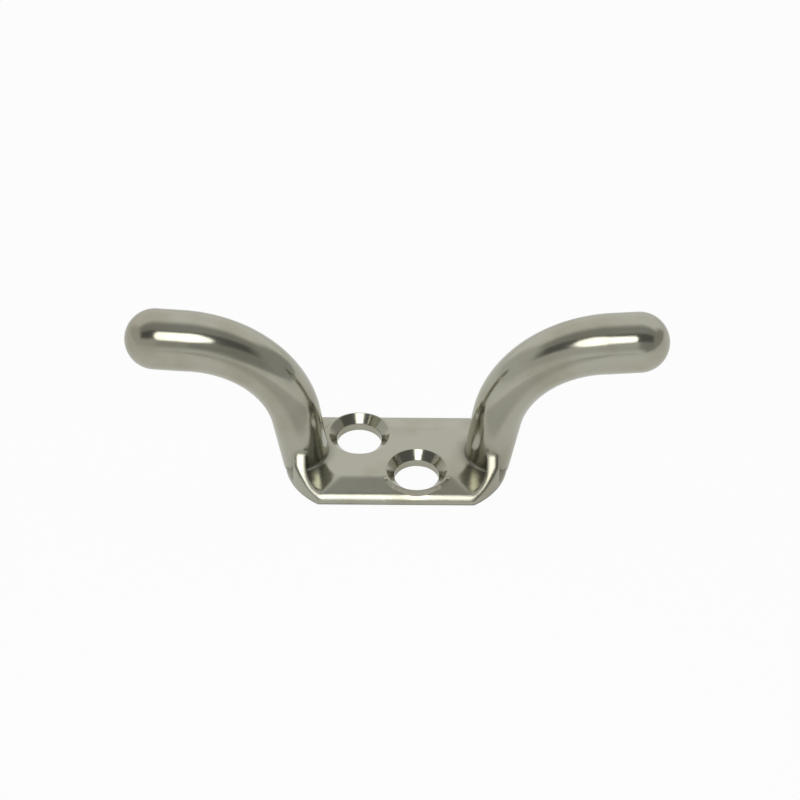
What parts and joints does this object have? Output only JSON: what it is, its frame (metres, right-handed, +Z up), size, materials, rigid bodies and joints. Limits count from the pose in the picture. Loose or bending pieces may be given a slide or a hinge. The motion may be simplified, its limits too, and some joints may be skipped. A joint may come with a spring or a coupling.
{
  "type": "horn cleat",
  "caption": "Cast horn cleat for belaying light line: a thin plate with countersunk screw holes and a round horn curving up and out from each end.",
  "frame": {"origin": "middle of the flat mounting face, at its centre in plan", "axes": "+X along the horns, +Y across the plate towards its back, +Z up from the mounting face"},
  "size_m": [0.064, 0.0148, 0.023],
  "materials": {
    "cast_metal": "cast metal, polished all over and bright nickel plated"
  },
  "bodies": {
    "root": {"cleat": "cast_metal"}
  },
  "joints": []
}
